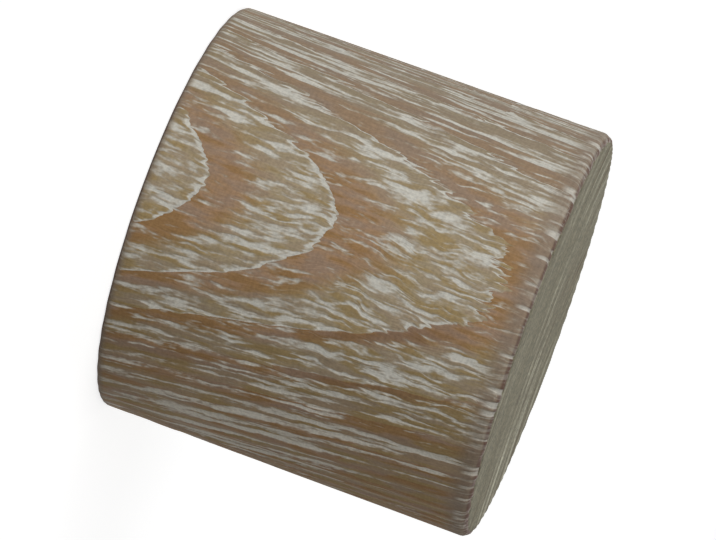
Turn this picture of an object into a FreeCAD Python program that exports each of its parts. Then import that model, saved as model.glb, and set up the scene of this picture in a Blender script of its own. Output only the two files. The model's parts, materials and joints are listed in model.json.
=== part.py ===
"""Cylinder finial for a wooden curtain pole.

One block of hardwood, turned to a plain cylinder with sanded rims and drilled up its axis from the
pole end, where a double-ended screw draws it tight against the pole.

Millimetres, +Z up. The origin is the centre of the pole-end face, and +Z runs along the pole's axis
to the free end.
"""

import FreeCAD
import Part

import math
import os

# Turned block
BODY_DIAMETER = 50.0
BODY_LENGTH = 46.0
FREE_RIM_RADIUS = 1.2
POLE_RIM_RADIUS = 0.8

# Blind pilot hole for the fixing screw, its depth taken to the shoulder of the drill point
PILOT_DIAMETER = 6.0
PILOT_DEPTH = 28.0
DRILL_POINT_DEGREES = 118.0

BODY_RADIUS = BODY_DIAMETER / 2
PILOT_RADIUS = PILOT_DIAMETER / 2
DRILL_POINT_HEIGHT = PILOT_RADIUS / math.tan(math.radians(DRILL_POINT_DEGREES / 2))


def at(radius, height):
    """A point of the half section, which lies in the XZ plane."""
    return FreeCAD.Vector(radius, 0, height)


def rounded_rim(centre, radius, start_degrees):
    """A quarter round of the half section about centre, running anticlockwise from start_degrees."""
    points = []
    for turn in (0, 45, 90):
        angle = math.radians(start_degrees + turn)
        points.append(centre + at(radius * math.cos(angle), radius * math.sin(angle)))
    return Part.Arc(*points).toShape()


def half_section():
    """The face that the lathe sweeps, from the tip of the pilot hole round both rims to the free end."""
    tip = at(0, PILOT_DEPTH + DRILL_POINT_HEIGHT)
    shoulder = at(PILOT_RADIUS, PILOT_DEPTH)
    mouth = at(PILOT_RADIUS, 0)
    free_centre = at(0, BODY_LENGTH)

    pole_rim_centre = at(BODY_RADIUS - POLE_RIM_RADIUS, POLE_RIM_RADIUS)
    free_rim_centre = at(BODY_RADIUS - FREE_RIM_RADIUS, BODY_LENGTH - FREE_RIM_RADIUS)
    pole_rim = rounded_rim(pole_rim_centre, POLE_RIM_RADIUS, -90)
    free_rim = rounded_rim(free_rim_centre, FREE_RIM_RADIUS, 0)

    outline = [
        Part.makeLine(tip, shoulder),
        Part.makeLine(shoulder, mouth),
        Part.makeLine(mouth, pole_rim.firstVertex().Point),
        pole_rim,
        Part.makeLine(pole_rim.lastVertex().Point, free_rim.firstVertex().Point),
        free_rim,
        Part.makeLine(free_rim.lastVertex().Point, free_centre),
        Part.makeLine(free_centre, tip),
    ]
    return Part.Face(Part.Wire(outline))


def finial_body():
    """The whole finial, as one solid of revolution about the pole's axis."""
    return half_section().revolve(FreeCAD.Vector(0, 0, 0), FreeCAD.Vector(0, 0, 1), 360)


def main():
    """Builds the finial and writes it, one file for its one piece."""
    os.makedirs("parts", exist_ok=True)
    body = finial_body()
    body.exportStep("parts/finial_body.step")
    print("finial_body", body.ShapeType, "valid", body.isValid(), "volume", round(body.Volume, 1), "mm3")


main()
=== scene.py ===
"""Looks of a cylindrical curtain pole finial in brushed and limed hardwood.

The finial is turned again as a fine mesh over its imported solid, brushed so that the soft early wood
sinks, and limed so that the open pores hold white. The relief and the colour read one figure of growth
rings and pores, worked out in the block itself, so they agree on the side and on both ends.

Blender's lengths are metres. The figure is worked out in millimetres.
"""

import json
import logging
import math
from collections.abc import Callable
from dataclasses import dataclass
from enum import Enum

import bmesh
import bpy
from mathutils import Color, Matrix, Vector


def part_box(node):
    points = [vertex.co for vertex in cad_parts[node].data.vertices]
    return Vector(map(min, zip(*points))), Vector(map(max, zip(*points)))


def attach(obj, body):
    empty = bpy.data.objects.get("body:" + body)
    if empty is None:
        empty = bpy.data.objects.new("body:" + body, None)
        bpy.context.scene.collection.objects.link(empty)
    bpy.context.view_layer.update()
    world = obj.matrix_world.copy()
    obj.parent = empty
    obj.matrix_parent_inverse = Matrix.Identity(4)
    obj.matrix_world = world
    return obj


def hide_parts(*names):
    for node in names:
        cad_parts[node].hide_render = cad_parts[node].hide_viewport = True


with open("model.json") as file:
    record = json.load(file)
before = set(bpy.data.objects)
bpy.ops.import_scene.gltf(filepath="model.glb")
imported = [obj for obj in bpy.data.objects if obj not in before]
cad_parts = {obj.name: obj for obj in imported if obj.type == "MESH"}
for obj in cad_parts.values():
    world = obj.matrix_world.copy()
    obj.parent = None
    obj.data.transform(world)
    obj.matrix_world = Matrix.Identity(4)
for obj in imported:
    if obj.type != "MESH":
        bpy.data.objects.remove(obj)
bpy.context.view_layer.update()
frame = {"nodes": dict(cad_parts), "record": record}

log = logging.getLogger("finial")

MM = 0.001
PER_MM = 1000.0
NEAR = 0.02 * MM
PICTURE_WHITE = 255
NOISE_MIDDLE = 0.5
ROUND_PROFILE = 0.5
QUAD_SIDES = 4
IMAGE_WIDTH = 716
TURNED = "turned"

Colour = tuple[float, float, float, float]
Number = "Term | float"


def paint(red: int, green: int, blue: int) -> Colour:
    """A linear, opaque colour from the 0 to 255 values that a picture shows."""
    shown = Color((red / PICTURE_WHITE, green / PICTURE_WHITE, blue / PICTURE_WHITE))
    return (*shown.from_srgb_to_scene_linear(), 1.0)


class Term:
    """A value in a node tree. Arithmetic on it adds Math nodes to that tree."""

    def __init__(self, graph: "Graph", socket: bpy.types.NodeSocket) -> None:
        """Keeps the graph and the output socket that the value comes from."""
        self.graph = graph
        self.socket = socket

    def __add__(self, other: Number) -> "Term":
        """This value plus another."""
        return self.graph.math("ADD", self, other)

    def __radd__(self, other: Number) -> "Term":
        """Another value plus this one."""
        return self.graph.math("ADD", other, self)

    def __sub__(self, other: Number) -> "Term":
        """This value less another."""
        return self.graph.math("SUBTRACT", self, other)

    def __rsub__(self, other: Number) -> "Term":
        """Another value less this one."""
        return self.graph.math("SUBTRACT", other, self)

    def __mul__(self, other: Number) -> "Term":
        """This value times another."""
        return self.graph.math("MULTIPLY", self, other)

    def __rmul__(self, other: Number) -> "Term":
        """Another value times this one."""
        return self.graph.math("MULTIPLY", other, self)

    def __truediv__(self, other: Number) -> "Term":
        """This value over another."""
        return self.graph.math("DIVIDE", self, other)

    def __rtruediv__(self, other: Number) -> "Term":
        """Another value over this one."""
        return self.graph.math("DIVIDE", other, self)

    def __neg__(self) -> "Term":
        """This value with its sign turned."""
        return self.graph.math("MULTIPLY", self, -1.0)


class Graph:
    """Writes one node tree, a material's or a modifier's."""

    def __init__(self, tree: bpy.types.NodeTree) -> None:
        """Keeps the tree, emptied of the nodes that it came with."""
        self.tree = tree
        tree.nodes.clear()

    def node(self, kind: str, settings: dict | None = None, sockets: dict | None = None) -> bpy.types.Node:
        """Adds a node of any type.

        Args:
            kind: The node's type.
            settings: The node's own properties, which are set first.
            sockets: Values or terms for its inputs, by identifier.

        Returns:
            The new node.
        """
        made = self.tree.nodes.new(kind)
        for name, value in (settings or {}).items():
            setattr(made, name, value)
        for name, value in (sockets or {}).items():
            socket = next(entry for entry in made.inputs if entry.identifier == name)
            if isinstance(value, Term):
                self.tree.links.new(value.socket, socket)
            else:
                socket.default_value = value
        return made

    def term(self, node: bpy.types.Node, output: str) -> Term:
        """The value of a node's output, by identifier."""
        return Term(self, next(entry for entry in node.outputs if entry.identifier == output))

    def math(self, operation: str, *values: Number) -> Term:
        """Adds a Math node.

        Args:
            operation: The node's operation.
            values: Its inputs in order.

        Returns:
            The result.
        """
        names = ("Value", "Value_001", "Value_002")
        made = self.node("ShaderNodeMath", {"operation": operation}, dict(zip(names, values)))
        return self.term(made, "Value")

    def step(self, value: Term, start: float, end: float) -> Term:
        """Eases from 0 to 1 as a value passes from start to end.

        Args:
            value: The value that is passed.
            start: Where the change starts.
            end: Where it ends.

        Returns:
            The eased level.
        """
        sockets = {"Value": value, "From Min": start, "From Max": end}
        made = self.node("ShaderNodeMapRange", {"interpolation_type": "SMOOTHSTEP"}, sockets)
        return self.term(made, "Result")

    def between(self, share: Term, low: Number, high: Number) -> Term:
        """The level at a share of the way from low to high."""
        return low + share * (high - low)

    def split(self, vector: Term) -> tuple[Term, Term, Term]:
        """The three parts of a vector."""
        made = self.node("ShaderNodeSeparateXYZ", {}, {"Vector": vector})
        return self.term(made, "X"), self.term(made, "Y"), self.term(made, "Z")

    def join(self, x: Number, y: Number, z: Number) -> Term:
        """A vector of three parts."""
        return self.term(self.node("ShaderNodeCombineXYZ", {}, {"X": x, "Y": y, "Z": z}), "Vector")

    def scaled(self, vector: Term, factor: Number) -> Term:
        """Multiplies a vector or a colour.

        Args:
            vector: The vector or colour.
            factor: What it is multiplied by.

        Returns:
            The product.
        """
        sockets = {"Vector": vector, "Scale": factor}
        made = self.node("ShaderNodeVectorMath", {"operation": "SCALE"}, sockets)
        return self.term(made, "Vector")

    def noise(self, place: Term, detail: float, roughness: float) -> Term:
        """Fractal noise about its middle, whose features are about one unit of place wide.

        Args:
            place: Where the noise is read.
            detail: Its number of octaves above the first.
            roughness: How much each octave keeps of the one before.

        Returns:
            The noise.
        """
        sockets = {"Vector": place, "Scale": 1.0, "Detail": detail, "Roughness": roughness}
        return self.term(self.node("ShaderNodeTexNoise", {"noise_dimensions": "3D"}, sockets), "Fac")

    def blend(self, share: Number, first: Term | Colour, second: Term | Colour) -> Term:
        """Mixes two colours.

        Args:
            share: How much of the second shows.
            first: The first colour.
            second: The second colour.

        Returns:
            The mixed colour.
        """
        sockets = {"Factor_Float": share, "A_Color": first, "B_Color": second}
        made = self.node("ShaderNodeMix", {"data_type": "RGBA", "blend_type": "MIX"}, sockets)
        return self.term(made, "Result_Color")


@dataclass(frozen=True)
class Span:
    """A stretch of a value, over which a share eases between 0 and 1."""

    start: float
    end: float

    def rise(self, value: Term) -> Term:
        """A share that is 0 before the stretch and 1 past it."""
        return value.graph.step(value, self.start, self.end)

    def fall(self, value: Term) -> Term:
        """A share that is 1 before the stretch and 0 past it."""
        return 1.0 - self.rise(value)


@dataclass(frozen=True)
class Band:
    """A stretch of a value with soft edges, between which a share is 1."""

    enter: Span
    leave: Span

    def share(self, value: Term) -> Term:
        """The share at a value."""
        return self.enter.rise(value) * self.leave.fall(value)


@dataclass(frozen=True)
class Bell:
    """A hump of a share, which is 1 at its centre and about a third of that at its reach."""

    centre: float
    reach: float

    def share(self, value: Term) -> Term:
        """The share at a value."""
        offset = (value - self.centre) / self.reach
        return value.graph.math("EXPONENT", -(offset * offset))


@dataclass(frozen=True)
class Shift:
    """A level that moves from one value to another as a share grows from 0 to 1."""

    start: float
    end: float

    def at(self, share: Term) -> Term:
        """The level at a share."""
        return share.graph.between(share, self.start, self.end)


@dataclass(frozen=True)
class Spot:
    """A place by the fibres, in millimetres: across them, through to the pith, and along them."""

    across: Number
    through: Number
    along: Number


@dataclass(frozen=True)
class Grain:
    """A cloudy pattern that is stretched along the fibres, in millimetres."""

    width: float
    length: float
    detail: float = 1.0
    roughness: float = 0.5
    start: float = 0.0

    def read(self, graph: Graph, spot: Spot) -> Term:
        """Reads the pattern.

        Args:
            graph: The tree that it is written into.
            spot: Where it is read.

        Returns:
            The pattern there, about 0.
        """
        across = spot.across / self.width + self.start
        place = graph.join(across, spot.through / self.width, spot.along / self.length)
        return graph.noise(place, self.detail, self.roughness) - NOISE_MIDDLE


@dataclass(frozen=True)
class Place:
    """A place on the turned surface, in millimetres, with its way round from the middle of the front."""

    x: Term
    y: Term
    z: Term
    arc: Term


@dataclass(frozen=True)
class Parts:
    """Shares of the parts of the side where the figure differs.

    They are both flanks, the low side at +X, the tips of the arches, the gilt stretch beside them, and the
    bare stretches of the low side near the free end.
    """

    flank: Term
    low: Term
    tip: Term
    gilt: Term
    bare: Term


@dataclass(frozen=True)
class Ring:
    """A place in its growth ring: how far it is through the ring, and shares of early wood and of a painted
    shadow band by the ring's edge.
    """

    phase: Term
    early: Term
    seam: Term


@dataclass(frozen=True)
class Figure:
    """What the wood is at each place.

    Those from the early wood to the half of the block that lies behind are shares, of which the gilt one
    can pass 1. The rest are patterns about 0: patches of tint, the fibres, scratches round the block, fine
    specks, and the arcs of the rings and the mottling on its ends.
    """

    early: Term
    seam: Term
    lime: Term
    halo: Term
    trough: Term
    ripple: Term
    tint_and_shade_side: Term
    low: Term
    shade: Term
    gilt: Term
    behind: Term
    patch: Term
    fibre: Term
    scratch: Term
    speck: Term
    arcs: Term
    mottle: Term


@dataclass(frozen=True)
class Timber:
    """The growth rings and fibres of the block, in millimetres and in turns of a ring.

    The pith runs behind the block. The rings lean inwards along the middle of the front, so that the front
    shows nested arches, and the fibres swirl a little there. The early wood is open and takes the lime, and
    the late wood is closed.
    """

    pith_x: float = 6.2
    pith_drift: float = 0.11
    pith_y: float = 40.0
    bark_radius: float = 65.5
    lean: float = 0.138
    lean_ease: float = 0.00047
    lean_x: Bell = Bell(-12.5, 33.3)
    ring_rate: float = 0.5907
    ring_start: float = 0.2251
    ring_sway: float = 0.5291
    ring_sway_rate: float = 0.26
    ring_sway_start: float = 0.5506
    ring_wander: float = 0.3
    trough_phase: float = 0.75

    flank_x: Span = Span(7.7, 20.0)
    low_x: Span = Span(9.0, 19.0)
    tip_z: Span = Span(24.0, 40.0)
    gilt_x: Band = Band(Span(-1.0, 9.0), Span(13.0, 18.0))
    gilt_z: Span = Span(14.0, 34.0)
    bare_arc: Bell = Bell(16.8, 1.3)
    bare_low_arc: Span = Span(20.5, 25.0)
    bare_y: Span = Span(-2.0, 4.0)
    bare_z: Span = Span(26.0, 34.0)
    # Share of the -X side, which takes a rosy tint and a painted grey shade.
    tint_and_shade_side_x: Span = Span(4.0, 22.0)
    shade_x: Span = Span(0.0, 16.0)
    behind_y: Span = Span(-10.0, 4.0)
    pole_gilt_z: Span = Span(1.0, 9.0)
    pole_gilt: float = 0.7
    bare_gilt: float = 0.9

    fan: float = 0.0065
    fan_bend: float = 0.00015
    swirl: float = 1.5
    swirl_x: Bell = Bell(1.0, 7.0)
    swirl_z: Bell = Bell(24.0, 7.0)
    wobble_front: Shift = Shift(0.9, 2.1)
    wobble_flank: float = 0.7
    wobble_z: Span = Span(10.0, 28.0)
    long_flank: float = 0.7
    long_low: float = 0.3
    pore_gain: Shift = Shift(1.0, 0.5)
    line_gain: Shift = Shift(0.35, 1.0)
    grit_gain: Shift = Shift(0.3, 0.2)
    bunch_gain: float = 0.15
    fray: Shift = Shift(0.15, 1.2)
    fray_tip: float = 0.4

    early_phase: Span = Span(0.22, 0.6)
    early_gilt: float = 0.3
    # Painted shadow: a dark band just past each ring's edge on the lower front, standing in for the shade
    # cast by the raised late wood.
    painted_groove_shadow_phase: Band = Band(Span(0.0, 0.03), Span(0.1, 0.24))
    painted_groove_shadow_x: Band = Band(Span(0.0, 5.0), Span(12.0, 16.0))
    painted_groove_shadow_z: Band = Band(Span(18.0, 28.0), Span(36.0, 43.0))
    edge_phase: Span = Span(0.94, 0.985)
    edge_x: Span = Span(4.0, 14.0)
    edge_tip: float = 0.4
    edge_gain: float = 0.2
    closed: Shift = Shift(0.13, 0.09)
    closed_low: float = -0.03
    closed_gilt: float = -0.09
    closed_bare: float = 0.15
    closed_in_painted_shadow: float = 0.16
    open_side: float = -0.005
    open_low: float = 0.03
    open_tip: float = 0.012
    crisp_flank: float = 0.4
    crisp_low: float = 0.4
    lime_over: Span = Span(-0.05, 0.18)
    halo_over: Span = Span(-0.12, 0.06)
    ripple_over: Span = Span(0.03, 0.12)
    ripple_z: Span = Span(0.0, 40.0)
    mottle_slant: float = 0.3
    mottle_squeeze: float = 0.55
    mottle_tilt: float = 0.4

    wobble: Grain = Grain(width=2.0, length=3.2)
    pores: Grain = Grain(width=0.7, length=5.5, detail=1.4, start=3.0)
    lines: Grain = Grain(width=0.62, length=26.0, detail=1.4, start=33.0)
    low_lines: Grain = Grain(width=1.2, length=40.0, start=51.0)
    grit: Grain = Grain(width=0.36, length=0.9, start=27.0)
    bunch: Grain = Grain(width=2.0, length=14.0, start=9.0)
    ripple: Grain = Grain(width=1.2, length=12.0, start=15.0)
    wander: Grain = Grain(width=7.0, length=20.0)
    patch: Grain = Grain(width=1.4, length=6.0, detail=2.0, start=40.0)
    fibre: Grain = Grain(width=0.2, length=4.0, start=7.0)
    scratch: Grain = Grain(width=4.0, length=0.24, start=80.0)
    speck: Grain = Grain(width=0.3, length=0.35, start=20.0)
    arcs: Grain = Grain(width=2.6, length=26.0, detail=3.0, roughness=0.65, start=60.0)
    mottle: Grain = Grain(width=0.5, length=0.9, detail=3.0, roughness=0.65, start=70.0)

    def figure(self, graph: Graph, position: Term) -> Figure:
        """Works out the figure.

        Args:
            graph: The tree that it is written into.
            position: The place on the turned surface, in metres.

        Returns:
            The figure there.
        """
        x, y, z = graph.split(graph.scaled(position, PER_MM))
        place = Place(x, y, z, graph.math("ARCTAN2", x, -y) * (self.bark_radius - self.pith_y))
        parts = self.parts(graph, place)
        lean = z * (self.lean - self.lean_ease * z) * self.lean_x.share(x)

        swirl = self.swirl * self.swirl_x.share(x) * self.swirl_z.share(z)
        across = place.arc + z * x * (self.fan + self.fan_bend * x) + swirl
        straight = Spot(across, lean * (1.0 - parts.flank), z)
        wobble = graph.between(parts.flank, self.wobble_front.at(self.wobble_z.rise(z)), self.wobble_flank)
        spot = Spot(across + wobble * self.wobble.read(graph, straight), straight.through, z)
        strand = self.strand(graph, parts, spot)

        depth = self.depth(graph, place, lean) + self.ring_wander * self.wander.read(graph, straight)
        trough = graph.math("COSINE", (self.ring_count(graph, depth) - self.trough_phase) * math.tau)
        frayed = depth + (self.fray.at(parts.flank) + self.fray_tip * parts.tip) * strand
        ring = self.ring(graph, place, parts, frayed)

        over = strand + self.grit_gain.at(parts.flank) * self.grit.read(graph, straight)
        over = over + self.bunch_gain * self.bunch.read(graph, spot)
        over = over - self.pore_level(graph, place, parts, ring)
        over = over * (1.0 + self.crisp_flank * parts.flank + self.crisp_low * parts.low)

        plain = Spot(x, y, z)
        slanted = Spot(
            across=x + self.mottle_slant * y,
            through=self.mottle_squeeze * y - self.mottle_slant * x,
            along=z + self.mottle_tilt * x,
        )
        return Figure(
            early=ring.early,
            seam=ring.seam,
            lime=self.lime_over.rise(over),
            halo=self.halo_over.rise(over),
            trough=(1.0 + trough) / 2.0,
            ripple=self.ripple_over.rise(self.ripple.read(graph, straight)) * self.ripple_z.rise(z),
            # Share of the -X side: a rosy tint and a painted grey shade.
            tint_and_shade_side=self.tint_and_shade_side_x.rise(-x),
            low=parts.low,
            shade=self.shade_x.rise(x),
            gilt=parts.gilt + self.pole_gilt * self.pole_gilt_z.fall(z) + self.bare_gilt * parts.bare,
            behind=self.behind_y.rise(y),
            patch=self.patch.read(graph, straight),
            fibre=self.fibre.read(graph, spot),
            scratch=self.scratch.read(graph, plain),
            speck=self.speck.read(graph, plain),
            arcs=self.arcs.read(graph, Spot(depth, 0.0, x)),
            mottle=self.mottle.read(graph, slanted),
        )

    def parts(self, graph: Graph, place: Place) -> Parts:
        """Works out the parts of the side.

        Args:
            graph: The tree that they are written into.
            place: The place on the turned surface.

        Returns:
            The shares there.
        """
        flank = self.flank_x.rise(graph.math("ABSOLUTE", place.x))
        bare = graph.math("MAXIMUM", self.bare_arc.share(place.arc), self.bare_low_arc.rise(place.arc))
        return Parts(
            flank=flank,
            low=self.low_x.rise(place.x),
            tip=self.tip_z.rise(place.z) * (1.0 - flank),
            gilt=self.gilt_x.share(place.x) * self.gilt_z.rise(place.z),
            bare=bare * self.bare_z.rise(place.z) * self.bare_y.fall(place.y),
        )

    def strand(self, graph: Graph, parts: Parts, spot: Spot) -> Term:
        """Works out the pores: short on the front, long lines on the flanks, and broad on the low side.

        Args:
            graph: The tree that they are written into.
            parts: The parts of the side.
            spot: The place by the fibres.

        Returns:
            The pattern there, about 0.
        """
        long_share = parts.flank * (self.long_flank + self.long_low * parts.low)
        lines = graph.math("SQRT", 1.0 - parts.low) * self.lines.read(graph, spot)
        lines = lines + graph.math("SQRT", parts.low) * self.low_lines.read(graph, spot)
        pores = self.pore_gain.at(long_share) * self.pores.read(graph, spot)
        return pores + self.line_gain.at(long_share) * lines

    def depth(self, graph: Graph, place: Place, lean: Term) -> Term:
        """How deep a place lies in the tree.

        Args:
            graph: The tree of nodes that it is written into.
            place: The place on the turned surface.
            lean: How far the rings lean inwards there, in millimetres.

        Returns:
            The depth under the front's outermost line, in millimetres.
        """
        ring_x = place.x - self.pith_x - self.pith_drift * place.z
        ring_y = place.y - self.pith_y
        return self.bark_radius + lean - graph.math("SQRT", ring_x * ring_x + ring_y * ring_y)

    def ring_count(self, graph: Graph, depth: Term) -> Term:
        """How many rings lie above a depth, with a fraction for the place within a ring."""
        sway = graph.math("SINE", depth * self.ring_sway_rate + self.ring_sway_start)
        return depth * self.ring_rate + self.ring_start + self.ring_sway * sway

    def ring(self, graph: Graph, place: Place, parts: Parts, depth: Term) -> Ring:
        """Works out the place within its growth ring.

        Args:
            graph: The tree that it is written into.
            place: The place on the turned surface.
            parts: The parts of the side.
            depth: The depth in the tree, in millimetres.

        Returns:
            The place in the ring.
        """
        phase = graph.math("FRACT", self.ring_count(graph, depth))
        return Ring(
            phase=phase,
            early=self.early_phase.rise(phase + self.early_gilt * parts.gilt),
            seam=self.painted_groove_shadow_phase.share(phase) * self.painted_groove_shadow_x.share(place.x) * self.painted_groove_shadow_z.share(place.z),
        )

    def pore_level(self, graph: Graph, place: Place, parts: Parts, ring: Ring) -> Term:
        """How strong the pores have to be before they hold lime.

        Args:
            graph: The tree that it is written into.
            place: The place on the turned surface.
            parts: The parts of the side.
            ring: The place in the growth ring.

        Returns:
            The level, lower where the wood is open and along the white edge of each ring's early wood.
        """
        closed = self.closed.at(parts.flank) + self.closed_low * parts.low + self.closed_gilt * parts.gilt
        opened = self.open_side + self.open_low * parts.low + self.open_tip * parts.tip
        edge = self.edge_phase.rise(ring.phase) * self.edge_x.fall(place.x)
        edge = edge * (1.0 - self.edge_tip * parts.tip)
        level = graph.between(ring.early, closed, opened) - self.edge_gain * edge
        # The painted shadow band also holds less lime.
        return level + self.closed_bare * parts.bare + self.closed_in_painted_shadow * ring.seam


@dataclass(frozen=True)
class Zones:
    """Shares of what changes towards the ends.

    They are the wash on the ends, the rubbing by the rims, the dark line between the two, which is worn dark
    wood with painted shade on the rims' rounding, the notched edge of the free rim, and the smoother stretch
    by the pole.
    """

    washed: Term
    rubbed: Term
    line: Term
    notched: Term
    pole: Term


@dataclass(frozen=True)
class Block:
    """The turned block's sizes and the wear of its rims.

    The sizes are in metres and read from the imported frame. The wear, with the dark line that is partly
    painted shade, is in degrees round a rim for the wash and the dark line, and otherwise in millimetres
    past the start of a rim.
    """

    radius: float
    length: float
    free_rim: float
    pole_rim: float
    pilot_radius: float
    pilot_depth: float
    pilot_tip: float
    wash_turn: Span = Span(74.0, 84.0)
    # The dark line on the rims' rounding: worn dark wood with painted shade.
    line_turn: Span = Span(30.0, 54.0)
    rubbed_free: Span = Span(-2.6, 0.0)
    rubbed_pole: Span = Span(-0.5, 0.4)
    notched_free: Span = Span(-1.2, 0.2)
    smooth_pole: Span = Span(-4.0, 0.0)

    @classmethod
    def from_frame(cls, node: str, hole: str) -> "Block":
        """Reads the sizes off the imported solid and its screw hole.

        Args:
            node: The solid's node.
            hole: The hole's mount.

        Returns:
            The sizes.
        """
        low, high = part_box(node)
        radius = min(high.x, high.y, -low.x, -low.y)
        points = [vertex.co for vertex in frame["nodes"][node].data.vertices]
        side = [point.z for point in points if math.hypot(point.x, point.y) > radius - NEAR]
        mount = next(entry for entry in frame["record"]["mounts"] if entry["name"] == hole)
        pilot_radius = mount["dims"]["r_mm"] * MM
        inner = [point.z for point in points if math.hypot(point.x, point.y) < pilot_radius + NEAR]
        return cls(
            radius=radius,
            length=high.z - low.z,
            free_rim=high.z - max(side),
            pole_rim=min(side) - low.z,
            pilot_radius=pilot_radius,
            pilot_depth=mount["dims"]["length_mm"] * MM,
            pilot_tip=max(height for height in inner if height < high.z - NEAR),
        )

    def zones(self, graph: Graph, position: Term) -> Zones:
        """Where the ends' wash lies and where the rims are rubbed.

        Args:
            graph: The tree that they are written into.
            position: The place on the turned surface, in metres.

        Returns:
            The zones.
        """
        x, y, z = graph.split(graph.scaled(position, PER_MM))
        reach = graph.math("SQRT", x * x + y * y)
        past_free = z - (self.length - self.free_rim) * PER_MM
        past_pole = self.pole_rim * PER_MM - z
        free_turn = self.rim_turn(graph, reach, past_free, self.free_rim)
        pole_turn = self.rim_turn(graph, reach, past_pole, self.pole_rim)
        turn = graph.math("MAXIMUM", free_turn, pole_turn)
        washed = self.wash_turn.rise(turn)
        rubbed = graph.math("MAXIMUM", self.rubbed_free.rise(past_free), self.rubbed_pole.rise(past_pole))
        return Zones(
            washed=washed,
            rubbed=rubbed * (1.0 - washed),
            line=self.line_turn.rise(turn) * (1.0 - washed),
            notched=self.notched_free.rise(past_free) * (1.0 - washed),
            pole=self.smooth_pole.rise(past_pole),
        )

    def rim_turn(self, graph: Graph, reach: Term, beyond: Term, rim: float) -> Term:
        """How far round a rim a place lies: 0 degrees on the side and 90 on the end.

        Args:
            graph: The tree that it is written into.
            reach: The place's distance from the axis, in millimetres.
            beyond: How far past the start of the rim it lies along the axis, in millimetres.
            rim: The rim's radius, in metres.

        Returns:
            The angle in degrees.
        """
        outward = reach - (self.radius - rim) * PER_MM
        past = graph.math("MAXIMUM", beyond, 0.0)
        return graph.math("ARCTAN2", past, graph.math("MAXIMUM", outward, 0.0)) * math.degrees(1.0)


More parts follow.
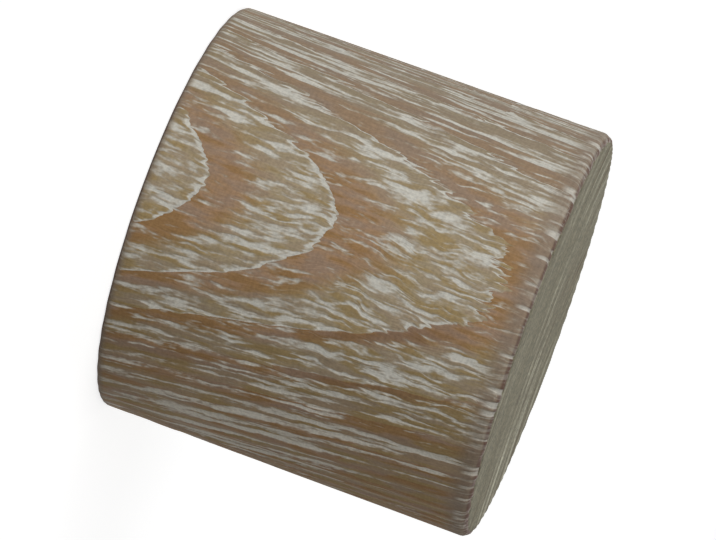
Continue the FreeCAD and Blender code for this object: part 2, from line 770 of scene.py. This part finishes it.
@dataclass(frozen=True)
class LimedWood:
    """Brushed open-grain hardwood with lime in its pores and a grey wash on its ends."""

    late: Colour = paint(175, 142, 110)
    early: Colour = paint(177, 160, 130)
    rosy: Colour = paint(163, 140, 122)
    ochre: Colour = paint(158, 120, 70)
    # Colour of the painted shadow band past the ring edges.
    gold: Colour = paint(168, 142, 90)
    seam: Colour = paint(138, 106, 78)
    # Grey of the painted shade on the -X side.
    grey_painted_shade: Colour = paint(142, 131, 115)
    haze: Colour = paint(178, 167, 148)
    chalk: Colour = paint(222, 219, 208)
    low_chalk: Colour = paint(222, 216, 202)
    rubbed: Colour = paint(147, 130, 113)
    # Dark line on the rims' rounding: worn wood and painted shade.
    line: Colour = paint(100, 73, 62)
    wash: Colour = paint(130, 125, 104)
    wash_light: Colour = paint(190, 186, 164)
    wash_dark: Colour = paint(98, 84, 60)

    tint: Span = Span(0.0, 0.12)
    rosy_share: float = 0.6
    rosy_blush: float = 0.06
    rosy_early: float = 0.5
    ochre_share: float = 0.72
    ochre_lift: float = 0.015
    ochre_gilt: float = 0.07
    ochre_hold: float = 0.8
    early_low: float = 0.45
    painted_groove_shadow_share: float = 0.6
    grey_painted_shade_share: float = 0.5
    rubbed_share: float = 0.85
    shade_share: float = 0.22
    haze_share: float = 0.35
    haze_low: float = 0.5
    line_share: float = 0.85
    lime_rubbed: float = 0.75
    lime_notched: float = 0.75
    arcs_share: Shift = Shift(0.35, 0.95)
    light_arcs: Span = Span(0.02, 0.14)
    dark_arcs: Span = Span(0.02, 0.13)
    mottle_gain: float = 1.8
    fibre_gain: float = 0.35
    scratch_gain: float = 0.16
    speck_gain: float = 0.5
    relief: float = 0.035 * MM
    roughness: float = 0.65
    lime_roughness: float = 0.2
    wash_roughness: float = 0.35
    specular: float = 0.25

    def material(self, timber: Timber, block: Block) -> bpy.types.Material:
        """Makes the finish.

        Args:
            timber: The wood that it is on.
            block: The turned block.

        Returns:
            The material.
        """
        made = bpy.data.materials.new("limed_wood")
        made.use_nodes = True
        graph = Graph(made.node_tree)
        position = graph.term(graph.node("ShaderNodeAttribute", {"attribute_name": TURNED}), "Vector")
        figure = timber.figure(graph, position)
        zones = block.zones(graph, position)
        side = 1.0 - zones.washed

        tone = self.side_tone(graph, figure, zones)
        tone = graph.blend(zones.washed, tone, self.end_tone(graph, figure))
        texture = self.fibre_gain * figure.fibre * side
        texture = texture + self.scratch_gain * figure.scratch + self.speck_gain * figure.speck
        tone = graph.scaled(tone, 1.0 + texture)
        roughness = self.roughness + self.lime_roughness * figure.lime * side
        roughness = roughness + self.wash_roughness * zones.washed

        height = (figure.fibre - figure.lime) * side
        bump = graph.node("ShaderNodeBump", {}, {"Distance": self.relief, "Height": height})
        shader = graph.node(
            "ShaderNodeBsdfPrincipled",
            {},
            {
                "Base Color": tone,
                "Roughness": roughness,
                "Specular IOR Level": self.specular,
                "Normal": graph.term(bump, "Normal"),
            },
        )
        graph.node("ShaderNodeOutputMaterial", {}, {"Surface": graph.term(shader, "BSDF")})
        return made

    def side_tone(self, graph: Graph, figure: Figure, zones: Zones) -> Term:
        """Colours the side: the tints of the bare wood, the rubbed rims, painted shade, and the lime over
        them.

        Args:
            graph: The tree that it is written into.
            figure: The figure of the wood.
            zones: What changes towards the ends.

        Returns:
            The colour.
        """
        rosy = self.tint.rise(figure.patch + self.rosy_blush * figure.tint_and_shade_side)
        rosy = self.rosy_share * rosy * (1.0 - self.rosy_early * figure.early)
        ochre = self.tint.rise(self.ochre_lift + self.ochre_gilt * figure.gilt - figure.patch)
        ochre = self.ochre_share * ochre * (1.0 - figure.tint_and_shade_side * (1.0 - self.ochre_hold * figure.gilt))
        haze = self.haze_share * figure.halo * (1.0 - self.haze_low * figure.low)
        side_lime = figure.lime * (1.0 - self.lime_rubbed * zones.rubbed)
        lime = graph.math("MAXIMUM", side_lime, self.lime_notched * figure.ripple * zones.notched)

        tone = graph.blend(figure.early * (1.0 - self.early_low * figure.low), self.late, self.early)
        tone = graph.blend(rosy, tone, self.rosy)
        tone = graph.blend(ochre, tone, graph.blend(figure.early, self.ochre, self.gold))
        # Painted shadow: darkens the band just past each ring's edge, as if the raised late wood cast shade
        # there.
        tone = graph.blend(self.painted_groove_shadow_share * figure.seam, tone, self.seam)
        # Painted shade: dims and greys the -X side, standing in for how the light falls there.
        tone = graph.blend(self.grey_painted_shade_share * figure.tint_and_shade_side, tone, self.grey_painted_shade)
        tone = graph.blend(self.rubbed_share * zones.rubbed, tone, self.rubbed)
        tone = graph.scaled(tone, 1.0 - self.shade_share * figure.shade)
        tone = graph.blend(haze, tone, self.haze)
        # Dark line on the rims' rounding: worn dark wood, with painted shade where the rounding turns away
        # from the light.
        tone = graph.blend(self.line_share * zones.line, tone, self.line)
        return graph.blend(lime, tone, graph.blend(figure.low, self.chalk, self.low_chalk))

    def end_tone(self, graph: Graph, figure: Figure) -> Term:
        """Colours the ends: a mottled wash with the arcs of the rings showing through.

        Args:
            graph: The tree that it is written into.
            figure: The figure of the wood.

        Returns:
            The colour.
        """
        lined = self.arcs_share.at(figure.behind)
        tone = graph.blend(lined * self.light_arcs.rise(figure.arcs), self.wash, self.wash_light)
        tone = graph.blend(lined * self.dark_arcs.rise(-figure.arcs), tone, self.wash_dark)
        return graph.scaled(tone, 1.0 + self.mottle_gain * figure.mottle)


@dataclass
class Finial:
    """The finial's one piece: a turned block, brushed and limed."""

    block: Block
    timber: Timber
    finish: LimedWood
    name: str = "limed_finial"
    node: str = "finial_body"
    slot: str = "limed_wood"
    segments: int = 1200
    side_rows: int = 38
    rim_rows: int = 5
    free_halvings: int = 1
    pole_halvings: int = 2
    end_step: float = 0.6 * MM
    groove: float = 0.14 * MM
    groove_share: Shift = Shift(0.4, 1.0)
    groove_pole: float = 0.7
    streak: float = 0.06 * MM
    ripple: float = 0.16 * MM
    sharp_degrees: float = 50.0

    def build(self) -> bpy.types.Object:
        """Models, brushes and dresses the piece, and sets it on the frame.

        Returns:
            The finished piece.
        """
        piece = self.turned_blank()
        self.close_free_end(piece)
        self.drill_pole_end(piece)
        self.brush(piece)
        self.dress(piece)
        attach(piece, "root")
        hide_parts(self.node)
        return piece

    def dress(self, piece: bpy.types.Object) -> None:
        """Gives the piece its finish."""
        piece.data.materials.clear()
        piece.data.materials.append(self.finish.material(self.timber, self.block))

    def turned_blank(self) -> bpy.types.Object:
        """Turns the side and both rounded rims, open at both ends.

        Returns:
            The blank, left in edit mode.
        """
        block = self.block
        middle = block.length / 2
        bpy.ops.object.select_all(action="DESELECT")
        bpy.ops.mesh.primitive_cylinder_add(
            vertices=self.segments, radius=block.radius, depth=block.length, location=(0, 0, middle)
        )
        piece = bpy.context.object
        piece.name = self.name
        bpy.ops.object.transform_apply(location=True, rotation=False, scale=False)
        bpy.ops.object.mode_set(mode="EDIT")

        for height, rim in ((block.length, block.free_rim), (0.0, block.pole_rim)):
            self.choose_edges(piece, lambda a, b: abs(a.z - height) + abs(b.z - height) < NEAR)
            bpy.ops.mesh.bevel(offset=rim, segments=self.rim_rows, profile=ROUND_PROFILE, affect="EDGES")

        mesh = bmesh.from_edit_mesh(piece.data)
        for face in mesh.faces:
            face.select_set(len(face.verts) > QUAD_SIDES)
        bpy.ops.mesh.delete(type="ONLY_FACE")
        self.choose_edges(piece, lambda a, b: abs(a.z - b.z) > middle)
        bpy.ops.mesh.subdivide(number_cuts=self.side_rows - 1)
        return piece

    def close_free_end(self, piece: bpy.types.Object) -> None:
        """Closes the free end with an even grid, so that the brushed rings can cross it.

        Args:
            piece: The blank, in edit mode.
        """
        block = self.block
        outer = block.radius - block.free_rim
        count, _ = self.shed_segments(piece, block.length, outer, self.free_halvings)
        bpy.ops.mesh.fill_grid(span=count // QUAD_SIDES)

    def drill_pole_end(self, piece: bpy.types.Object) -> None:
        """Closes the pole end in rows down to the screw hole, and drills the hole to its point.

        Args:
            piece: The blank, in edit mode. It is left in object mode.
        """
        block = self.block
        _, outer = self.shed_segments(piece, 0.0, block.radius - block.pole_rim, self.pole_halvings)
        rows = round((outer - block.pilot_radius) / self.end_step)
        reach = outer
        for row in range(1, rows + 1):
            target = outer + (block.pilot_radius - outer) * row / rows
            self.step_inwards(target / reach)
            reach = target
        for rise in (block.pilot_depth, block.pilot_tip - block.pilot_depth):
            bpy.ops.mesh.extrude_edges_move(TRANSFORM_OT_translate={"value": (0, 0, rise)})
        bpy.ops.mesh.merge(type="CENTER")
        bpy.ops.mesh.select_all(action="SELECT")
        bpy.ops.mesh.normals_make_consistent(inside=False)
        bpy.ops.object.mode_set(mode="OBJECT")

    def shed_segments(
        self, piece: bpy.types.Object, height: float, radius: float, halvings: int
    ) -> tuple[int, float]:
        """Steps inwards from a rim's edge, and merges every second edge of each new loop.

        Args:
            piece: The blank, in edit mode.
            height: The end's height.
            radius: The radius of the rim's edge.
            halvings: How many times the loop loses half of its segments.

        Returns:
            The number of segments and the radius of the last loop, which is left selected.
        """
        count = self.segments
        self.choose_edges(piece, self.on_loop(height, radius))
        for _ in range(halvings):
            inner = radius - self.end_step
            self.step_inwards(inner / radius)
            self.choose_edges(piece, self.on_loop(height, inner, count))
            bpy.ops.mesh.merge(type="COLLAPSE")
            count //= 2
            radius = inner
            self.choose_edges(piece, self.on_loop(height, radius))
        return count, radius

    @staticmethod
    def step_inwards(factor: float) -> None:
        """Extrudes the selected loop and draws it in towards the axis."""
        bpy.ops.mesh.extrude_edges_move()
        bpy.ops.transform.resize(value=(factor, factor, 1), center_override=(0, 0, 0))

    def brush(self, piece: bpy.types.Object) -> None:
        """Sinks the early wood and the open pores, and keeps each point's turned place for the finish.

        Args:
            piece: The turned piece, in object mode.
        """
        tree = bpy.data.node_groups.new("brushing", "GeometryNodeTree")
        tree.interface.new_socket("Geometry", in_out="INPUT", socket_type="NodeSocketGeometry")
        tree.interface.new_socket("Geometry", in_out="OUTPUT", socket_type="NodeSocketGeometry")
        graph = Graph(tree)
        enter = graph.node("NodeGroupInput")
        position = graph.term(graph.node("GeometryNodeInputPosition"), "Position")
        normal = graph.term(graph.node("GeometryNodeInputNormal"), "Normal")
        figure = self.timber.figure(graph, position)
        zones = self.block.zones(graph, position)
        side = 1.0 - zones.washed
        groove = self.groove * figure.trough * self.groove_share.at(side)
        groove = groove * (1.0 - self.groove_pole * zones.pole)
        streak = self.streak * figure.halo * side * (1.0 - zones.rubbed) * (1.0 - zones.pole)
        sunk = groove + streak + self.ripple * figure.ripple * zones.notched

        kept = graph.node(
            "GeometryNodeStoreNamedAttribute",
            {"data_type": "FLOAT_VECTOR", "domain": "POINT"},
            {"Geometry": Term(graph, enter.outputs[0]), "Name": TURNED, "Value": position},
        )
        moved = graph.node(
            "GeometryNodeSetPosition",
            {},
            {"Geometry": Term(graph, kept.outputs[0]), "Offset": graph.scaled(normal, -sunk)},
        )
        leave = graph.node("NodeGroupOutput")
        tree.links.new(moved.outputs[0], leave.inputs[0])

        bpy.ops.object.modifier_add(type="NODES")
        modifier = piece.modifiers[-1]
        modifier.node_group = tree
        bpy.ops.object.modifier_apply(modifier=modifier.name)
        bpy.ops.object.shade_smooth_by_angle(angle=math.radians(self.sharp_degrees))

    @staticmethod
    def on_loop(height: float, radius: float, count: int = 0) -> Callable[[Vector, Vector], bool]:
        """A test for the edges of a flat loop about the axis.

        Args:
            height: The loop's height.
            radius: Its radius.
            count: Its number of edges where only every second one is wanted, or 0 for all of them.

        Returns:
            The test of an edge's two ends.
        """

        def test(a: Vector, b: Vector) -> bool:
            """Tests an edge.

            Args:
                a: The edge's first end.
                b: Its other end.

            Returns:
                True if both ends lie on the loop and the edge is one of those wanted.
            """
            if abs(a.z - height) + abs(b.z - height) > NEAR:
                return False
            if any(abs(math.hypot(end.x, end.y) - radius) > NEAR for end in (a, b)):
                return False
            turn = math.atan2(a.y + b.y, a.x + b.x) / math.tau
            return count == 0 or math.floor(turn * count) % 2 == 0

        return test

    @staticmethod
    def choose_edges(piece: bpy.types.Object, test: Callable[[Vector, Vector], bool]) -> None:
        """Selects the edges whose two ends pass a test, and nothing else.

        Args:
            piece: The piece, in edit mode.
            test: The test of an edge's two ends.
        """
        bpy.ops.mesh.select_mode(type="EDGE")
        bpy.ops.mesh.select_all(action="DESELECT")
        mesh = bmesh.from_edit_mesh(piece.data)
        for edge in mesh.edges:
            edge.select_set(test(edge.verts[0].co, edge.verts[1].co))
        bmesh.update_edit_mesh(piece.data)


@dataclass(frozen=True)
class Softbox:
    """One area lamp that faces the finial. Its level is about how bright it makes a white surface there."""

    name: str
    azimuth: float
    elevation: float
    distance: float
    width: float
    height: float
    level: float

    def light(self, target: Vector) -> bpy.types.Object:
        """Hangs the lamp.

        Args:
            target: The point that it faces.

        Returns:
            The lamp.
        """
        away = direction(self.azimuth, self.elevation)
        data = bpy.data.lights.new(self.name, "AREA")
        data.shape = "RECTANGLE"
        data.size = self.width
        data.size_y = self.height
        data.energy = self.level * (math.pi * self.distance) ** 2
        lamp = bpy.data.objects.new(self.name, data)
        bpy.context.scene.collection.objects.link(lamp)
        lamp.location = target + away * self.distance
        lamp.rotation_euler = away.to_track_quat("Z", "Y").to_euler()
        return lamp


def direction(azimuth: float, elevation: float) -> Vector:
    """The direction from the finial to a viewpoint.

    Args:
        azimuth: Degrees round from -Y towards +X.
        elevation: Degrees above the floor.

    Returns:
        A unit vector.
    """
    around, up = math.radians(azimuth), math.radians(elevation)
    return Vector((math.sin(around) * math.cos(up), -math.cos(around) * math.cos(up), math.sin(up)))


class Ray(Enum):
    """The rays that see the white background as it is."""

    CAMERA = "Is Camera Ray"
    GLOSSY = "Is Glossy Ray"
    TRANSMISSION = "Is Transmission Ray"


@dataclass(frozen=True)
class Studio:
    """The floor, the lamps and the camera."""

    centre: Vector
    floor_side: float = 6.0
    floor_grey: float = 0.5
    floor_glow: float = 0.78
    ambient: float = 0.17
    view_elevation: float = 7.785
    view_roll: float = 19.841
    view_distance: float = 444.7 * MM
    focal_pixels: float = 3776.0
    sensor_width: float = 36.0
    aim_right: float = -0.06 * MM
    aim_up: float = 0.15 * MM
    lamps: tuple[Softbox, ...] = (
        Softbox(
            "key_softbox", azimuth=-38.0, elevation=30.0, distance=0.9, width=1.6, height=0.8, level=0.83
        ),
        Softbox(
            "back_softbox", azimuth=180.0, elevation=20.0, distance=2.9, width=1.4, height=1.1, level=0.36
        ),
    )

    def build(self) -> None:
        """Sets up everything round the finial."""
        self.lay_floor()
        self.light_room()
        for lamp in self.lamps:
            lamp.light(self.centre)
        self.place_camera()
        bpy.context.scene.view_settings.view_transform = "Standard"

    @staticmethod
    def seen(graph: Graph) -> Term:
        """Tells the rays that see the background from those that only gather light.

        Args:
            graph: The tree that it is written into.

        Returns:
            1 where a ray sees the background as it is, and 0 elsewhere.
        """
        rays = graph.node("ShaderNodeLightPath")
        camera, glossy, transmission = (graph.term(rays, ray.value) for ray in Ray)
        return graph.math("MINIMUM", camera + glossy + transmission, 1.0)

    def lay_floor(self) -> None:
        """Lays a pale floor that shows white and keeps a soft shadow."""
        bpy.ops.object.select_all(action="DESELECT")
        bpy.ops.mesh.primitive_plane_add(size=self.floor_side, location=(0, 0, 0))
        floor = bpy.context.object
        floor.name = "studio_floor"
        made = bpy.data.materials.new("studio_floor")
        made.use_nodes = True
        graph = Graph(made.node_tree)
        grey = (self.floor_grey, self.floor_grey, self.floor_grey, 1.0)
        matt = graph.node("ShaderNodeBsdfDiffuse", {}, {"Color": grey})
        glow = graph.node("ShaderNodeEmission", {}, {"Strength": self.floor_glow * self.seen(graph)})
        both = graph.node("ShaderNodeAddShader")
        graph.tree.links.new(matt.outputs[0], both.inputs[0])
        graph.tree.links.new(glow.outputs[0], both.inputs[1])
        graph.node("ShaderNodeOutputMaterial", {}, {"Surface": Term(graph, both.outputs[0])})
        floor.data.materials.append(made)

    def light_room(self) -> None:
        """Fills the room with even light and shows white behind the finial."""
        world = bpy.data.worlds.new("studio")
        bpy.context.scene.world = world
        world.use_nodes = True
        graph = Graph(world.node_tree)
        strength = graph.between(self.seen(graph), self.ambient, 1.0)
        shown = graph.node("ShaderNodeBackground", {}, {"Color": (1, 1, 1, 1), "Strength": strength})
        graph.node("ShaderNodeOutputWorld", {}, {"Surface": Term(graph, shown.outputs[0])})

    def place_camera(self) -> None:
        """Puts the camera where the photograph was taken, rolled so that the free end points right."""
        back = direction(0.0, self.view_elevation)
        along = Vector((0, back.z, -back.y))
        over = Vector((-1, 0, 0))
        roll = math.radians(self.view_roll)
        right = along * math.cos(roll) + over * math.sin(roll)
        up = over * math.cos(roll) - along * math.sin(roll)

        data = bpy.data.cameras.new("photo_camera")
        data.sensor_width = self.sensor_width
        data.lens = self.sensor_width * self.focal_pixels / IMAGE_WIDTH
        camera = bpy.data.objects.new("photo_camera", data)
        bpy.context.scene.collection.objects.link(camera)
        place = self.centre + right * self.aim_right + up * self.aim_up + back * self.view_distance
        turn = Matrix((right, up, back)).transposed()
        camera.matrix_world = Matrix.Translation(place) @ turn.to_4x4()
        bpy.context.scene.camera = camera


def main() -> None:
    """Builds the finial and the studio."""
    logging.basicConfig(level=logging.INFO, format="%(name)s: %(message)s")
    block = Block.from_frame("finial_body", "screw_hole")
    log.info("block %s", block)
    piece = Finial(block, Timber(), LimedWood()).build()
    log.info("%s: %d faces", piece.name, len(piece.data.polygons))
    Studio(Vector((0, 0, block.length / 2))).build()
    log.info("studio ready")


if __name__ == "__main__":
    main()
